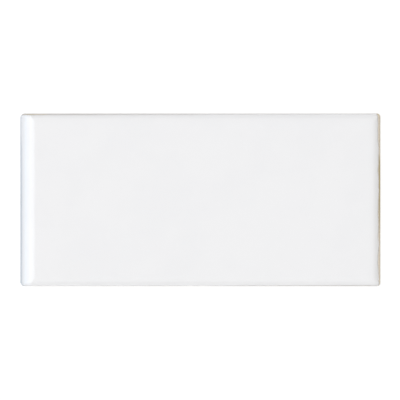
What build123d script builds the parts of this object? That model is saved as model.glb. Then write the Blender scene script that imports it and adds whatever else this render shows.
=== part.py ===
from build123d import *
from math import atan, cos, degrees, radians, sin, tan
import os

# Glazed ceramic wall tile with a bullnose on one short side, pressed and fired as one piece.
# It lies face up: X runs along its length with the bullnose at -X, Y across its width, Z up.
# The origin is the middle of its box, on the plane that the back rests on. Sizes are in mm.

# Overall size
tile_length = 152.4
tile_width = 73.1
tile_thickness = 7.9

# Bullnose: the face rolls down through a quarter turn onto a short upright land,
# with its two side edges rounded
nose_land = 0.8
nose_edge_radius = 1.8

# Cushion edge of the other three sides: a wide shallow arc off the flat face,
# then a tight arc over the arris
cushion_width = 3.6
cushion_drop = 0.6
arris_radius = 0.9

# Side walls: an upright land next to the back, then a lean inwards up to the arris
wall_land = 2.2
side_draft = 2.0
butt_draft = 8.0

# Rounding of the two corners at the butt end, and of the arris round the back
corner_radius = 1.4
back_edge_radius = 0.3

# Keyed back: rows of shallow pockets that leave a rim and a lattice of ribs
back_rim = 4.5
rib_width = 2.2
pocket_columns = 9
pocket_rows = 4
pocket_depth = 0.7
pocket_draft = 25.0
pocket_corner_radius = 1.6

# Sizes that follow from those
nose_radius = tile_thickness - nose_land
butt_x = tile_length / 2
nose_axis_x = nose_radius - butt_x
side_y = tile_width / 2
cushion_radius = (cushion_width**2 + cushion_drop**2) / (2 * cushion_drop)
cushion_angle = degrees(2 * atan(cushion_drop / cushion_width))

# The pockets share out the back between the rims, and none lies under the bullnose
pocket_field_start = nose_axis_x
pocket_field_end = butt_x - back_rim
pocket_pitch_x = (pocket_field_end - pocket_field_start + rib_width) / pocket_columns
pocket_pitch_y = (tile_width - 2 * back_rim + rib_width) / pocket_rows
pocket_length = pocket_pitch_x - rib_width
pocket_width = pocket_pitch_y - rib_width


def edge_profile(wall, draft):
    """Draw one cushion edge, from the flat face out and down to the back.

    wall is how far out the upright land stands, and draft is the lean of the wall above it, in degrees.
    Returns the point where the edge leaves the flat face.
    """
    lean = radians(draft)
    slope = radians(cushion_angle)
    arris_foot = tile_thickness - cushion_drop - arris_radius * (cos(slope) - sin(lean))
    arris_reach = arris_radius * (cos(lean) - sin(slope))
    face_end = wall - (arris_foot - wall_land) * tan(lean) - arris_reach - cushion_width
    cushion = JernArc((face_end, tile_thickness), (1, 0), cushion_radius, -cushion_angle)
    arris = JernArc(cushion @ 1, cushion % 1, arris_radius, cushion_angle + draft - 90)
    Polyline(arris @ 1, (wall, wall_land), (wall, 0))
    return cushion @ 0


# Section across the tile's width, with a cushion edge on both sides
with BuildSketch() as cross_section:
    with BuildLine():
        face_end = edge_profile(side_y, side_draft)
        Line((0, tile_thickness), face_end)
        Line((0, 0), (side_y, 0))
        mirror(about=Plane.YZ)
    make_face()

with BuildPart() as bullnose:
    # Rolled edge: a plain section with rounded upper corners, turned a quarter about its axis
    with BuildSketch(Plane.YZ.offset(nose_axis_x)) as roll_section:
        with Locations((0, nose_land)):
            Rectangle(tile_width, nose_radius, align=(Align.CENTER, Align.MIN))
        fillet(roll_section.vertices().group_by(Axis.Y)[-1], radius=nose_edge_radius)
    revolve(axis=Axis((nose_axis_x, 0, nose_land), (0, -1, 0)), revolution_arc=90)

    # Upright land under the roll, down to the back
    roll_foot = bullnose.faces().sort_by(Axis.Z)[0]
    extrude(roll_foot, amount=nose_land)

    # Cushion edges of the long sides, which run on over the roll and mitre with it
    with BuildSketch(Plane.YZ.offset(-butt_x)):
        add(cross_section.sketch)
    extrude(amount=nose_radius, mode=Mode.INTERSECT)

with BuildPart() as bullnose_tile:
    # Straight run, from the bullnose's axis to the butt end
    with BuildSketch(Plane.YZ.offset(nose_axis_x)):
        add(cross_section.sketch)
    extrude(amount=butt_x - nose_axis_x)
    add(bullnose.part)

    # Butt end, trimmed to its own cushion edge, which mitres with those of the sides
    with BuildSketch(Plane.XZ):
        with BuildLine():
            face_end = edge_profile(butt_x, butt_draft)
            Polyline(face_end, (-tile_length, tile_thickness), (-tile_length, 0), (butt_x, 0))
        make_face()
    extrude(amount=tile_width, both=True, mode=Mode.INTERSECT)

    # Rounded corners at the butt end
    with BuildSketch() as plan_outline:
        Rectangle(tile_length, tile_width)
        fillet(plan_outline.vertices().group_by(Axis.X)[-1], radius=corner_radius)
    extrude(amount=tile_thickness, mode=Mode.INTERSECT)

    # Pockets of the keyed back, with drafted sides
    with BuildSketch():
        with Locations(((pocket_field_start + pocket_field_end) / 2, 0)):
            with GridLocations(pocket_pitch_x, pocket_pitch_y, pocket_columns, pocket_rows):
                RectangleRounded(pocket_length, pocket_width, pocket_corner_radius)
    extrude(amount=pocket_depth, taper=pocket_draft, mode=Mode.SUBTRACT)

    # Soft arris all round the back
    back_face = bullnose_tile.faces().sort_by(Axis.Z)[0]
    fillet(back_face.outer_wire().edges(), radius=back_edge_radius)

bullnose_tile.part.label = "bullnose_tile"

os.makedirs("parts", exist_ok=True)
export_step(bullnose_tile.part, "parts/bullnose_tile.step")
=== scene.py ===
from math import atan, cos, pi, radians, sin, tan

import bmesh
import bpy
import numpy as np
from mathutils import Euler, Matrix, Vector, noise


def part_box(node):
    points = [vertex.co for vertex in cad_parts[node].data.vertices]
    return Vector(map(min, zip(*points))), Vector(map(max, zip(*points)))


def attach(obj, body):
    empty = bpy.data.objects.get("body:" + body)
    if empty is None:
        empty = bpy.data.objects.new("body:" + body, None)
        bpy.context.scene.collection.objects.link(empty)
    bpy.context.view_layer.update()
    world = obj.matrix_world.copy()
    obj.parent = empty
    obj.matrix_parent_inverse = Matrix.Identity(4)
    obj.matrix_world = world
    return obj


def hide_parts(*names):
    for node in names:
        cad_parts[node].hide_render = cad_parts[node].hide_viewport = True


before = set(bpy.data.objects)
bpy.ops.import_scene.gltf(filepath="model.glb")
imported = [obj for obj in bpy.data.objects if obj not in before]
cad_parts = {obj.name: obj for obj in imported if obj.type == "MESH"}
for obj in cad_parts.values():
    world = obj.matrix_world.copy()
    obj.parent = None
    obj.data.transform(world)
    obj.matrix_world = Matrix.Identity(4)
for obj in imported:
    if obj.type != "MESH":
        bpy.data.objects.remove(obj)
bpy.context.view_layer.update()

# Glazed ceramic wall tile with a bullnose on one short side, lying face up on a pale floor.
# X runs along it from the bullnose to the butt end, Y across it with the left side at +Y, and Z up.

# Sizes of the tile in metres: its box comes from the CAD part in model.glb, its edges are those of the
# part's source
MM = 0.001
NODE = "bullnose_tile"
box_low, box_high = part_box(NODE)
LENGTH, WIDTH, THICKNESS = box_high - box_low
NOSE_LAND = 0.8 * MM
NOSE_EDGE_RADIUS = 1.8 * MM
CUSHION_WIDTH = 3.6 * MM
CUSHION_DROP = 0.6 * MM
ARRIS_RADIUS = 0.9 * MM
WALL_LAND = 2.2 * MM
SIDE_DRAFT = radians(2)
BUTT_DRAFT = radians(8)
CORNER_RADIUS = 1.4 * MM
BACK_EDGE_RADIUS = 0.3 * MM

# Keyed back
BACK_RIM = 4.5 * MM
RIB_WIDTH = 2.2 * MM
POCKET_COLUMNS = 9
POCKET_ROWS = 4
POCKET_DEPTH = 0.7 * MM
POCKET_DRAFT = radians(25)
POCKET_CORNER = 1.6 * MM

# What follows from those
BUTT_X = LENGTH / 2
SIDE_Y = WIDTH / 2
NOSE_RADIUS = THICKNESS - NOSE_LAND
NOSE_AXIS_X = NOSE_RADIUS - BUTT_X
CUSHION_RADIUS = (CUSHION_WIDTH**2 + CUSHION_DROP**2) / (2 * CUSHION_DROP)
CUSHION_SLOPE = 2 * atan(CUSHION_DROP / CUSHION_WIDTH)
ARRIS_TOP = THICKNESS - CUSHION_DROP
ARRIS_CENTRE = ARRIS_TOP - ARRIS_RADIUS * cos(CUSHION_SLOPE)
POCKET_START_X = NOSE_AXIS_X
POCKET_START_Y = BACK_RIM - SIDE_Y
POCKET_PITCH_X = (BUTT_X - BACK_RIM - POCKET_START_X + RIB_WIDTH) / POCKET_COLUMNS
POCKET_PITCH_Y = (WIDTH - 2 * BACK_RIM + RIB_WIDTH) / POCKET_ROWS
POCKET_LENGTH = POCKET_PITCH_X - RIB_WIDTH
POCKET_WIDTH = POCKET_PITCH_Y - RIB_WIDTH
POCKET_SLOPE = POCKET_DEPTH * tan(POCKET_DRAFT)

# The lists below give places in mm and the values there: by X on the long sides, by Y on the two ends.

# Height of the glaze's lower edge above the back, in mm. On the bullnose it is NOSE_GLAZE_LINE.
# It wanders by GLAZE_RUN, and the glaze fades out within GLAZE_BAND above and below it.
LEFT_GLAZE = [(-74, 6.7), (-72, 6.6), (-70, 5.8), (-60, 5.6), (-40, 5.4), (20, 4.9), (71, 5.3)]
RIGHT_GLAZE = [(-75.5, 4.4), (-28, 4.8), (-17, 5.6), (9, 5.0), (19, 5.6), (50, 5.4), (73, 6.3)]
BUTT_GLAZE = [(-36.2, 4.5), (-35.5, 6.4), (-35, 7.27), (-21, 7.27), (-19, 7.15), (-9, 7.15),
              (-6, 7.22), (8, 7.22), (12, 7.32), (34, 7.36)]
NOSE_GLAZE_LINE = 0.45 * MM
GLAZE_RUN = 0.2 * MM
GLAZE_RUN_LENGTH = 9 * MM
GLAZE_BAND = 0.28 * MM

# How thin the glaze has drawn on the arris of the long sides, and so how grey it is there, partly as
# painted shade: 0 is thick, and past 1 the body shows.
# It is thinnest at a height in mm, and grows thick again over a band in mm above and below that.
LEFT_THIN_AND_SHADE = [(-75, 1.06), (-73.5, 1.12), (-71.5, 1.2), (-70, 1.1), (-65.5, 1.08), (-64, 0.9), (-46, 0.87),
             (-40, 0.67), (-4, 0.62), (4, 0.42), (48, 0.38), (56, 0.2), (64, 0.3)]
RIGHT_THIN_AND_SHADE = [(-30, 0), (-22, 0.3), (-12, 0.3), (-8, 0.05), (8, 0.05), (18, 0.55), (46, 0.7),
              (74, 0.95), (75, 0.2)]
LEFT_THIN_AND_SHADE_HEIGHT = [(-72.4, 7.28), (-71.4, 7.42), (-69.5, 7.14)]
RIGHT_THIN_AND_SHADE_HEIGHT = [(-72, 7.3), (-69.5, 7.02)]
THIN_AND_SHADE_BAND = [(-72, 0.32), (-70, 0.22)]

# How much of its cover the glaze loses over the butt end's cushion edge, which greys the cushion as painted
# shade
BUTT_PAINTED_SHADE = 0.17

# The glaze turns dry and rough at the foot of the bullnose, where its colour is painted cool shade and
# darker reflection: between two heights above the back, which shift across the tile by up to a mm, and
# between two distances from the rolled edge
FOOT_SHADE_HEIGHT = (4.9 * MM, 2.7 * MM)
FOOT_SHADE_SHIFT = [(-28, 0), (-20, 0.15), (6, 0.15), (12, 0), (22, -0.1), (27, -0.8)]
FOOT_SHADE_REACH = (3.0 * MM, 1.2 * MM)

# How dark the fired body is, from 0 to 1: all over, along the arris, which starts between two heights,
# and on the butt end, which starts between two distances from it
BODY_TONE = 0.35
EDGE_TONE = [(-71.5, 0.85), (-69.5, 0.6), (-65, 0.35)]
EDGE_HEIGHT = (6.5 * MM, 7.0 * MM)
BUTT_TONE = [(-36, 0.0), (-18, 0.1), (-8, 0.7), (8, 1.0), (16, 0.9), (20, 0.1), (36, 0.15)]
BUTT_EDGE = (1.3 * MM, 0.8 * MM)

# The glazed face isn't quite flat
FACE_WAVE = 0.012 * MM
FACE_WAVE_LENGTH = 26 * MM

# Colours of the glaze and of the body
GLAZE_WHITE = (0.85, 0.843, 0.842, 1)
GLAZE_SHADE = (0.838, 0.832, 0.833, 1)
# The thin glaze's grey is partly painted shade on the arris and on the butt end's cushion edge
GLAZE_THIN_AND_SHADE = (0.55, 0.528, 0.507, 1)
# The dry glaze's colour is painted cool shade and darker reflection at the foot of the bullnose
GLAZE_FOOT_SHADE = (0.505, 0.55, 0.597, 1)
BODY_PALE = (0.92, 0.82, 0.67, 1)
BODY_TAN = (0.56, 0.455, 0.25, 1)
BODY_SPECK = (0.34, 0.26, 0.17, 1)

# Their patterns, as features a metre and levels of detail
GLAZE_MOTTLE = (60, 3)
GLAZE_RIPPLE = (350, 2)
BODY_GRAIN = (1800, 4)
BODY_SPECKS = (900, 2)

# Which part of a pattern runs from low to high, which makes specks, and how far the grain shifts the tone
PATTERN_SPAN = (0.35, 0.65)
SPECK_SPAN = (0.66, 0.74)
GRAIN_TONE = 0.25

# Over which cover the body gives way to thin glaze, and thin glaze, greyed partly as painted shade, to
# thick
COVER_EDGE = (0.42, 0.58)
COVER_THICK = (0.5, 1.0)

# Roughness and fine relief
GLAZE_ROUGHNESS = 0.09
DRY_ROUGHNESS = 0.7
BODY_ROUGHNESS = 0.85
BUMP_STRENGTH = 0.15
BUMP_HEIGHT = 0.05 * MM

# How finely the mesh follows the form
LEVEL_SAMPLES = 4000
NOSE_STEP = radians(3)
EDGE_STEP = radians(6)
WALL_STEP = 0.35 * MM
STRAIGHT_SEGMENTS = 8
ARC_SEGMENTS = 10
CORNER_SEGMENTS = STRAIGHT_SEGMENTS + ARC_SEGMENTS + STRAIGHT_SEGMENTS
BACK_EDGE_STEPS = 4
POCKET_LINES = np.array([0, 0.17, 0.33, 0.47, 0.62, 0.8, 1.05, 1.6]) * MM
POCKET_MIDDLE_LINES = 3
WELD = 1e-7

# Smoothness, change of scale and number of the layers of noise that the form wanders by
WANDER_LAYERS = (1.0, 2.0, 3)


# The tile's form

def face_end(wall, draft):
    """How far out the flat face reaches towards a cushion edge whose land stands at wall."""
    arris_foot = ARRIS_CENTRE + ARRIS_RADIUS * sin(draft)
    arris_reach = ARRIS_RADIUS * (cos(draft) - sin(CUSHION_SLOPE))
    return wall - (arris_foot - WALL_LAND) * tan(draft) - arris_reach - CUSHION_WIDTH


FLAT_X = face_end(BUTT_X, BUTT_DRAFT)
FLAT_Y = face_end(SIDE_Y, SIDE_DRAFT)


def half_chord(radius, offset):
    """Half the width of a circle at a distance from its centre."""
    return np.sqrt(np.maximum(radius**2 - offset**2, 0))


def edge_reach(height, wall, draft):
    """How far out a cushion edge stands at each height above the back."""
    height = np.asarray(height, float)
    flat = face_end(wall, draft)
    cushion = flat + half_chord(CUSHION_RADIUS, height - THICKNESS + CUSHION_RADIUS)
    arris_centre = flat + CUSHION_WIDTH - ARRIS_RADIUS * sin(CUSHION_SLOPE)
    arris = arris_centre + half_chord(ARRIS_RADIUS, height - ARRIS_CENTRE)
    leaning = wall - (height - WALL_LAND) * tan(draft)
    arris_foot = ARRIS_CENTRE + ARRIS_RADIUS * sin(draft)
    upper = [height >= ARRIS_TOP, height >= arris_foot, height >= WALL_LAND]
    return np.select(upper, [cushion, arris, leaning], wall)


def side_at(height):
    """How far out the long sides stand at a height."""
    return float(edge_reach(height, SIDE_Y, SIDE_DRAFT))


def end_at(height):
    """How far out the butt end stands at a height."""
    return float(edge_reach(height, BUTT_X, BUTT_DRAFT))


def ring_levels():
    """Heights of the mesh's rings, from the face down, close together where the form turns."""
    fall = np.linspace(0, 1, LEVEL_SAMPLES) ** 2
    height = THICKNESS - (THICKNESS - BACK_EDGE_RADIUS) * fall
    nose_turn = np.arccos(np.clip((height - NOSE_LAND) / NOSE_RADIUS, 0, 1))
    reach = edge_reach(height, SIDE_Y, SIDE_DRAFT)
    edge_turn = np.arctan2(-np.gradient(height), np.maximum(np.gradient(reach), 0))
    passed = nose_turn / NOSE_STEP + edge_turn / EDGE_STEP + (THICKNESS - height) / WALL_STEP
    passed = np.maximum.accumulate(passed - passed[0])
    count = int(round(passed[-1]))
    return np.interp(np.linspace(0, passed[-1], count + 1), passed, height)


def nose_corner(height):
    """Outline of one bullnose corner at a height, from the long side round to the rolled edge."""
    side = side_at(height)
    lift = max(height - NOSE_LAND, 0)
    arc_centre = SIDE_Y - NOSE_EDGE_RADIUS
    arc_start = np.arccos(np.clip((side - arc_centre) / NOSE_EDGE_RADIUS, 0, 1))
    angle = np.linspace(arc_start, radians(90), ARC_SEGMENTS + 1)
    arc_x = NOSE_AXIS_X - half_chord(NOSE_RADIUS - NOSE_EDGE_RADIUS * (1 - np.sin(angle)), lift)
    arc_y = np.minimum(arc_centre + NOSE_EDGE_RADIUS * np.cos(angle), side)
    x = np.concatenate([
        np.linspace(NOSE_AXIS_X, arc_x[0], STRAIGHT_SEGMENTS + 1),
        arc_x[1:-1],
        np.full(STRAIGHT_SEGMENTS + 1, arc_x[-1]),
    ])
    y = np.concatenate([
        np.full(STRAIGHT_SEGMENTS + 1, side),
        arc_y[1:-1],
        np.linspace(arc_y[-1], FLAT_Y, STRAIGHT_SEGMENTS + 1),
    ])
    return x, y


def butt_corner(height):
    """Outline of one corner of the butt end at a height, from the end round to the long side."""
    end = end_at(height)
    side = side_at(height)
    radius = min(CORNER_RADIUS, end - FLAT_X, side - FLAT_Y)
    angle = np.linspace(0, radians(90), ARC_SEGMENTS + 1)[1:-1]
    x = np.concatenate([
        np.full(STRAIGHT_SEGMENTS + 1, end),
        end - radius + radius * np.cos(angle),
        np.linspace(end - radius, FLAT_X, STRAIGHT_SEGMENTS + 1),
    ])
    y = np.concatenate([
        np.linspace(FLAT_Y, side - radius, STRAIGHT_SEGMENTS + 1),
        side - radius + radius * np.sin(angle),
        np.full(STRAIGHT_SEGMENTS + 1, side),
    ])
    return x, y


def ring(height, side_count, end_count):
    """Closed outline of the tile at a height, counterclockwise from the butt end's right corner."""
    end = end_at(height)
    side = side_at(height)
    nose = NOSE_AXIS_X - float(half_chord(NOSE_RADIUS, max(height - NOSE_LAND, 0)))
    butt_x, butt_y = butt_corner(height)
    nose_x, nose_y = nose_corner(height)
    run = np.linspace(FLAT_X, NOSE_AXIS_X, side_count + 1)
    rise = np.linspace(-FLAT_Y, FLAT_Y, end_count + 1)
    x = np.concatenate([
        np.full(end_count, end), butt_x[:-1], run[:-1], nose_x[:-1],
        np.full(end_count, nose), nose_x[:0:-1], run[:0:-1], butt_x[:0:-1],
    ])
    y = np.concatenate([
        rise[:-1], butt_y[:-1], np.full(side_count, side), nose_y[:-1],
        rise[:0:-1], -nose_y[:0:-1], np.full(side_count, -side), -butt_y[:0:-1],
    ])
    return np.stack([x, y, np.full_like(x, height)], axis=1)


def inset(outline, distance, height):
    """A copy of an outline drawn in by a distance, at another height."""
    ahead = np.roll(outline, -1, axis=0) - np.roll(outline, 1, axis=0)
    ahead = ahead / np.linalg.norm(ahead, axis=1, keepdims=True)
    drawn_in = outline.copy()
    drawn_in[:, 0] -= ahead[:, 1] * distance
    drawn_in[:, 1] += ahead[:, 0] * distance
    drawn_in[:, 2] = height
    return drawn_in


def edge_rings(side_count, end_count):
    """The tile's outlines from the face down its edges and walls, and in over the arris of the back."""
    rings = [ring(height, side_count, end_count) for height in ring_levels()]
    foot = rings[-1]
    for step in range(1, BACK_EDGE_STEPS + 1):
        angle = radians(90) * step / BACK_EDGE_STEPS
        drawn_in = BACK_EDGE_RADIUS * (1 - cos(angle))
        rings.append(inset(foot, drawn_in, BACK_EDGE_RADIUS * (1 - sin(angle))))
    return np.array(rings)


# The keyed back

def pocket_lines(start, pitch, size, count):
    """Grid lines across a row of pockets, close together at their sloping sides."""
    middle = np.linspace(POCKET_LINES[-1], size - POCKET_LINES[-1], POCKET_MIDDLE_LINES + 2)[1:-1]
    one = np.concatenate([POCKET_LINES, middle, size - POCKET_LINES[::-1], [size + RIB_WIDTH / 2]])
    rows = [start + index * pitch + one for index in range(count)]
    return np.concatenate([[start - RIB_WIDTH / 2], *rows])


def pocket_outline(x_lines, y_lines):
    """Outline of the pocketed field on the back, with as many points as the other rings."""
    turn = CORNER_SEGMENTS
    side_count = len(x_lines) - 1
    end_count = len(y_lines) - 1
    x = np.concatenate([
        np.full(end_count + turn, x_lines[-1]), x_lines[:0:-1],
        np.full(turn + end_count + turn, x_lines[0]), x_lines[:-1], np.full(turn, x_lines[-1]),
    ])
    y = np.concatenate([
        y_lines[:-1], np.full(turn + side_count + turn, y_lines[-1]),
        y_lines[:0:-1], np.full(turn + side_count + turn, y_lines[0]),
    ])
    return np.stack([x, y, np.zeros_like(x)], axis=1)


def pocket_depth(x, y):
    """How deep the keyed back is at each point."""
    column = np.floor((x - POCKET_START_X + RIB_WIDTH / 2) / POCKET_PITCH_X)
    column = np.clip(column, 0, POCKET_COLUMNS - 1)
    row = np.clip(np.floor(y / POCKET_PITCH_Y + POCKET_ROWS / 2), 0, POCKET_ROWS - 1)
    from_x = np.abs(x - POCKET_START_X - column * POCKET_PITCH_X - POCKET_LENGTH / 2)
    from_y = np.abs(y - (row + 0.5 - POCKET_ROWS / 2) * POCKET_PITCH_Y)
    past_x = from_x - POCKET_LENGTH / 2 + POCKET_CORNER
    past_y = from_y - POCKET_WIDTH / 2 + POCKET_CORNER
    round_part = np.hypot(np.maximum(past_x, 0), np.maximum(past_y, 0))
    outside = round_part + np.minimum(np.maximum(past_x, past_y), 0) - POCKET_CORNER
    return POCKET_DEPTH * np.clip(-outside / POCKET_SLOPE, 0, 1)


# Where the glaze lies, and how it and the body look there

def wander(x, y, length):
    """Smooth unevenness over the tile, between about -1 and 1, with features of about a length."""
    places = zip(x / length, y / length)
    return np.array([noise.fractal(Vector((along, across, 0)), *WANDER_LAYERS) for along, across in places])


def stations(pairs, where):
    """A value that changes along the tile, from pairs of a place in mm and the value there."""
    places, values = zip(*pairs)
    return np.interp(where / MM, places, values)


def by_side(left, left_pairs, right_pairs, x):
    """A value that changes along X, given for each long side."""
    return np.where(left, stations(left_pairs, x), stations(right_pairs, x))


def share(value, start, end):
    """How far a value is from start to end, from 0 to 1."""
    return np.clip((value - start) / (end - start), 0, 1)


def rolled_height(x, z):
    """Height above the back, as it would be if the bullnose were rolled out flat."""
    past_axis = np.maximum(NOSE_AXIS_X - x, 0)
    rolled = NOSE_LAND + np.hypot(past_axis, np.maximum(z - NOSE_LAND, 0))
    return np.where(past_axis > 0, rolled, z)


def glaze_cover(rings):
    """How well the glaze covers each point of the rings: 0 bare, 0.5 at its edge, 1 thick.
    Where the cover is held down on the arris and on the butt end's cushion, its grey is partly painted
    shade.
    """
    x, z = rings[:, :, 0], rings[:, :, 2]
    foot_x, foot_y, _ = rings[-1].T
    left = foot_y > 0
    height = rolled_height(x, z)

    line = MM * by_side(left, LEFT_GLAZE, RIGHT_GLAZE, x)
    line = line + share(foot_x, FLAT_X, BUTT_X) * (MM * stations(BUTT_GLAZE, foot_y) - line)
    line = line + GLAZE_RUN * wander(foot_x, foot_y, GLAZE_RUN_LENGTH)
    above = np.minimum(height - line, z - NOSE_GLAZE_LINE)

    # Thin glaze on the arris, greyed partly as painted shade
    thin_and_shade = by_side(left, LEFT_THIN_AND_SHADE, RIGHT_THIN_AND_SHADE, x)
    thin_and_shade = thin_and_shade * (np.abs(foot_y) > FLAT_Y) * share(foot_x, BUTT_X, FLAT_X)
    thin_and_shade_height = MM * by_side(left, LEFT_THIN_AND_SHADE_HEIGHT, RIGHT_THIN_AND_SHADE_HEIGHT, x)
    thin_and_shade = thin_and_shade * np.exp(-((height - thin_and_shade_height) / (MM * stations(THIN_AND_SHADE_BAND, x))) ** 2)
    # Painted shade: greyer glaze over the butt end's cushion edge
    butt_shade = BUTT_PAINTED_SHADE * share(x, FLAT_X, BUTT_X - ARRIS_RADIUS)
    return np.clip(0.5 + above / (2 * GLAZE_BAND), 0, 1 - thin_and_shade / 2 - butt_shade)


def dryness_and_foot_shade(points):
    """How dry the glaze is at each point, and how much painted cool shade it gets there, from 0 to 1."""
    x, y, z = points.T
    height = z - MM * stations(FOOT_SHADE_SHIFT, y)
    return share(height, *FOOT_SHADE_HEIGHT) * share(x + BUTT_X, *FOOT_SHADE_REACH)


def body_tone(points):
    """How dark the body is at each point, from 0 to 1."""
    x, y, z = points.T
    tone = BODY_TONE + share(rolled_height(x, z), *EDGE_HEIGHT) * (stations(EDGE_TONE, x) - BODY_TONE)
    return tone + share(BUTT_X - x, *BUTT_EDGE) * (stations(BUTT_TONE, y) - tone)


# The tile's mesh

def grid_inside(x_lines, y_lines):
    """X and Y of the points where a grid's lines cross, without those on its outline."""
    x, y = np.meshgrid(x_lines[1:-1], y_lines[1:-1], indexing="ij")
    return x.ravel(), y.ravel()


def grid_points(outline_start, inner_start, side_count, end_count):
    """Which points make the grid inside an outline, from the bullnose to the butt end and from -Y to +Y."""
    turn = CORNER_SEGMENTS
    along = np.arange(side_count + 1)
    across = np.arange(end_count + 1)
    inner = np.arange((side_count - 1) * (end_count - 1)).reshape(side_count - 1, end_count - 1)
    grid = np.zeros((side_count + 1, end_count + 1), int)
    grid[1:-1, 1:-1] = inner_start + inner
    grid[-1, :] = outline_start + across
    grid[:, -1] = outline_start + end_count + turn + side_count - along
    grid[0, :] = outline_start + end_count + side_count + 2 * turn + end_count - across
    grid[:, 0] = outline_start + 2 * end_count + side_count + 3 * turn + along
    return grid


def grid_faces(grid):
    """The faces between the points of a grid."""
    corners = [grid[:-1, :-1], grid[1:, :-1], grid[1:, 1:], grid[:-1, 1:]]
    return np.stack(corners, axis=-1).reshape(-1, 4)


def ring_faces(levels, around):
    """The faces from each ring down to the next."""
    upper = np.arange(levels * around).reshape(levels, around)
    lower = upper + around
    corners = [upper, lower, np.roll(lower, -1, axis=1), np.roll(upper, -1, axis=1)]
    return np.stack(corners, axis=-1).reshape(-1, 4)


def smooth_object(name, points, faces, finishes):
    """A smooth mesh object, with each finish's value at each point."""
    mesh = bpy.data.meshes.new(name)
    mesh.from_pydata(points.tolist(), [], faces.tolist())
    for finish, values in finishes.items():
        attribute = mesh.attributes.new(finish, "FLOAT", "POINT")
        attribute.data.foreach_set("value", values.astype(np.float32))
    welded = bmesh.new()
    welded.from_mesh(mesh)
    bmesh.ops.remove_doubles(welded, verts=welded.verts, dist=WELD)
    bmesh.ops.recalc_face_normals(welded, faces=welded.faces)
    welded.to_mesh(mesh)
    welded.free()
    mesh.shade_smooth()
    made = bpy.data.objects.new(name, mesh)
    bpy.context.scene.collection.objects.link(made)
    return made


def build_tile():
    """The tile as one closed mesh: rings down its edges, and a grid on its face and on its back."""
    x_lines = pocket_lines(POCKET_START_X, POCKET_PITCH_X, POCKET_LENGTH, POCKET_COLUMNS)
    y_lines = pocket_lines(POCKET_START_Y, POCKET_PITCH_Y, POCKET_WIDTH, POCKET_ROWS)
    side_count = len(x_lines) - 1
    end_count = len(y_lines) - 1

    rings = edge_rings(side_count, end_count)
    levels, around, _ = rings.shape
    back_outline = pocket_outline(x_lines, y_lines)
    face_x, face_y = grid_inside(
        np.linspace(NOSE_AXIS_X, FLAT_X, side_count + 1), np.linspace(-FLAT_Y, FLAT_Y, end_count + 1))
    face = np.stack([face_x, face_y, np.full_like(face_x, THICKNESS)], axis=1)
    back_x, back_y = grid_inside(x_lines, y_lines)
    back = np.stack([back_x, back_y, pocket_depth(back_x, back_y)], axis=1)
    points = np.concatenate([rings.reshape(-1, 3), back_outline, face, back])

    cover = glaze_cover(rings).ravel()
    bare_outline = np.zeros(around)
    glaze = np.concatenate([cover, bare_outline, np.ones(len(face)), np.zeros(len(back))])
    finishes = {"glaze": glaze, "dry_and_foot_shade": dryness_and_foot_shade(points), "tone": body_tone(points)}

    wave = np.clip(wander(points[:, 0], points[:, 1], FACE_WAVE_LENGTH), -1, 1)
    points[:, 2] -= FACE_WAVE * (1 + wave) * (points[:, 2] > ARRIS_TOP)

    back_start = levels * around
    face_inner = back_start + around
    back_inner = face_inner + len(face)
    face_grid = grid_points(0, face_inner, side_count, end_count)
    back_grid = grid_points(back_start, back_inner, side_count, end_count)
    faces = [ring_faces(levels, around), grid_faces(face_grid), grid_faces(back_grid)[:, ::-1]]
    return smooth_object("glazed_tile", points, np.concatenate(faces), finishes)


# Materials

def add_node(tree, kind, inputs, **settings):
    """Add a shader node. Its inputs are values, or the sockets that feed them."""
    made = tree.nodes.new(kind)
    for name, value in settings.items():
        setattr(made, name, value)
    for name, value in inputs.items():
        if isinstance(value, bpy.types.NodeSocket):
            tree.links.new(value, made.inputs[name])
        else:
            made.inputs[name].default_value = value
    return made


def mix_colour(tree, factor, low, high):
    """A colour between two. A mix node's sockets go by number, because several share a name."""
    return add_node(tree, "ShaderNodeMix", {0: factor, 6: low, 7: high}, data_type="RGBA").outputs[2]


def mix_value(tree, factor, low, high):
    """A value between two."""
    return add_node(tree, "ShaderNodeMix", {0: factor, 2: low, 3: high}, data_type="FLOAT").outputs[0]


def ramp(tree, value, start, end, low=0.0, high=1.0):
    """Map start to end onto low to high, smoothly and no further."""
    inputs = {"Value": value, "From Min": start, "From Max": end, "To Min": low, "To Max": high}
    return add_node(tree, "ShaderNodeMapRange", inputs, interpolation_type="SMOOTHSTEP").outputs[0]


def pattern(tree, where, scale, detail):
    """Soft noise of a scale in features a metre."""
    inputs = {"Vector": where, "Scale": scale, "Detail": detail}
    return add_node(tree, "ShaderNodeTexNoise", inputs).outputs["Fac"]


def finish_value(tree, name):
    """One of the values that the mesh holds at each point."""
    return add_node(tree, "ShaderNodeAttribute", {}, attribute_name=name).outputs["Fac"]


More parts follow.
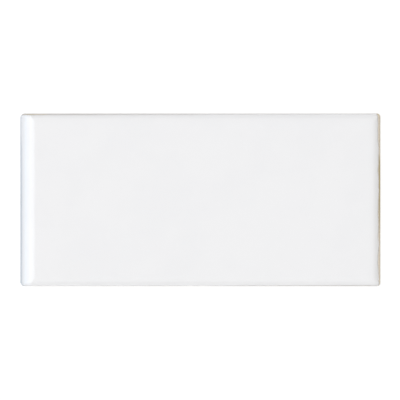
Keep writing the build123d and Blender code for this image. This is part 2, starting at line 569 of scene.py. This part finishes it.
def glazed_ceramic():
    """White gloss glaze over a tan fired body, by how well the glaze covers each point, with painted shade
    on its thin edges and at the foot of the bullnose.
    """
    material = bpy.data.materials.new("white_glaze")
    material.use_nodes = True
    tree = material.node_tree
    shader = tree.nodes["Principled BSDF"]
    where = add_node(tree, "ShaderNodeTexCoord", {}).outputs["Object"]
    cover = finish_value(tree, "glaze")
    dry_and_foot_shade = finish_value(tree, "dry_and_foot_shade")
    tone = finish_value(tree, "tone")

    grain = pattern(tree, where, *BODY_GRAIN)
    specks = ramp(tree, pattern(tree, where, *BODY_SPECKS), *SPECK_SPAN)
    uneven = ramp(tree, grain, *PATTERN_SPAN, -GRAIN_TONE, GRAIN_TONE)
    dark = add_node(tree, "ShaderNodeMath", {0: tone, 1: uneven}, operation="ADD", use_clamp=True)
    body = mix_colour(tree, dark.outputs[0], BODY_PALE, BODY_TAN)
    body = mix_colour(tree, specks, body, BODY_SPECK)

    mottle = ramp(tree, pattern(tree, where, *GLAZE_MOTTLE), *PATTERN_SPAN)
    glaze = mix_colour(tree, mottle, GLAZE_SHADE, GLAZE_WHITE)
    # Painted cool shade and darker reflection at the foot of the bullnose
    glaze = mix_colour(tree, dry_and_foot_shade, glaze, GLAZE_FOOT_SHADE)
    # Thin glaze, whose grey is partly painted shade
    glaze = mix_colour(tree, ramp(tree, cover, *COVER_THICK), GLAZE_THIN_AND_SHADE, glaze)

    covered = ramp(tree, cover, *COVER_EDGE)
    tree.links.new(mix_colour(tree, covered, body, glaze), shader.inputs["Base Color"])
    glaze_roughness = mix_value(tree, dry_and_foot_shade, GLAZE_ROUGHNESS, DRY_ROUGHNESS)
    tree.links.new(mix_value(tree, covered, BODY_ROUGHNESS, glaze_roughness), shader.inputs["Roughness"])

    relief = mix_value(tree, covered, grain, pattern(tree, where, *GLAZE_RIPPLE))
    inputs = {"Height": relief, "Strength": BUMP_STRENGTH, "Distance": BUMP_HEIGHT}
    tree.links.new(add_node(tree, "ShaderNodeBump", inputs).outputs[0], shader.inputs["Normal"])
    return material


tile = build_tile()
tile.data.materials.append(glazed_ceramic())
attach(tile, "root")
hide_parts(NODE)


# Floor and light

FLOOR_SIZE = 8.0
FLOOR_GAP = 0.05 * MM
FLOOR_GREY = (0.22, 0.22, 0.22, 1)
FLOOR_GLOW = 0.88
SKY_LEVEL = 0.24
LIGHT_DISTANCE = 6.0
WHITE = (1, 1, 1)
COOL_WHITE = (0.95, 1, 1.15)
BLUE = (0.5, 1, 1.45)


def seen_directly(tree):
    """1 for the camera's own rays, and for reflected and transmitted ones, else 0."""
    path = add_node(tree, "ShaderNodeLightPath", {}).outputs
    seen = path["Is Camera Ray"]
    for kind in ("Is Glossy Ray", "Is Transmission Ray"):
        seen = add_node(tree, "ShaderNodeMath", {0: seen, 1: path[kind]}, operation="MAXIMUM").outputs[0]
    return seen


def white_floor():
    """A pale floor that looks white, and keeps the tile's shadow."""
    bpy.ops.mesh.primitive_plane_add(size=FLOOR_SIZE, location=(0, 0, -FLOOR_GAP))
    floor = bpy.context.object
    floor.name = "floor"
    material = bpy.data.materials.new("floor")
    material.use_nodes = True
    tree = material.node_tree
    tree.nodes.remove(tree.nodes["Principled BSDF"])
    matte = add_node(tree, "ShaderNodeBsdfDiffuse", {"Color": FLOOR_GREY})
    strength = ramp(tree, seen_directly(tree), 0, 1, 0, FLOOR_GLOW)
    glow = add_node(tree, "ShaderNodeEmission", {"Strength": strength})
    both = add_node(tree, "ShaderNodeAddShader", {0: matte.outputs[0], 1: glow.outputs[0]})
    tree.links.new(both.outputs[0], tree.nodes["Material Output"].inputs["Surface"])
    floor.data.materials.append(material)


def surroundings():
    """An even light from all round. Where it is seen, it is white."""
    world = bpy.data.worlds.new("surroundings")
    world.use_nodes = True
    tree = world.node_tree
    strength = ramp(tree, seen_directly(tree), 0, 1, SKY_LEVEL, 1)
    tree.links.new(strength, tree.nodes["Background"].inputs["Strength"])
    tree.nodes["Background"].inputs["Color"].default_value = (*WHITE, 1)
    bpy.context.scene.world = world


def soft_light(name, lean, size, level, turn=0, colour=WHITE):
    """A broad light leaning from straight overhead, on the bullnose's side or turned from there.

    lean and turn are in degrees. level is how bright it alone makes a white surface that faces it.
    """
    light = bpy.data.lights.new(name, "AREA")
    light.shape = "RECTANGLE"
    light.size, light.size_y = size
    light.energy = level * (pi * LIGHT_DISTANCE) ** 2
    light.color = colour
    lamp = bpy.data.objects.new(name, light)
    aim = Euler((0, radians(-lean), radians(-turn)))
    lamp.rotation_euler = aim
    lamp.location = aim.to_matrix() @ Vector((0, 0, LIGHT_DISTANCE))
    bpy.context.scene.collection.objects.link(lamp)


white_floor()
surroundings()
soft_light("overhead", lean=-7, size=(4.36, 6.0), level=0.305)
soft_light("key", lean=26, size=(2.34, 4.8), level=0.267)
soft_light("softbox", lean=46, size=(1.8, 4.8), level=0.228)
soft_light("side", lean=66, size=(2.2, 4.8), level=0.158, colour=COOL_WHITE)
soft_light("low", lean=83, size=(1.26, 4.8), level=0.0725, colour=BLUE)
soft_light("front", lean=82, size=(1.26, 4.8), level=0.24, turn=-90)
soft_light("back", lean=82, size=(1.26, 4.8), level=0.18, turn=90)
soft_light("butt", lean=-84, size=(1.0, 4.8), level=0.27)


# Camera, straight above. VIEW_WIDTH is what it takes in at the height VIEW_PLANE.

VIEW_WIDTH = 169.38 * MM
VIEW_PLANE = 1.5 * MM
VIEW_CENTRE = (-0.15 * MM, -0.06 * MM)
CAMERA_DISTANCE = 1.6
SENSOR_WIDTH = 36

camera_data = bpy.data.cameras.new("camera")
camera_data.sensor_width = SENSOR_WIDTH
camera_data.lens = SENSOR_WIDTH * CAMERA_DISTANCE / VIEW_WIDTH
camera = bpy.data.objects.new("camera", camera_data)
camera.location = (*VIEW_CENTRE, VIEW_PLANE + CAMERA_DISTANCE)
bpy.context.scene.collection.objects.link(camera)
bpy.context.scene.camera = camera
bpy.context.scene.view_settings.view_transform = "Standard"
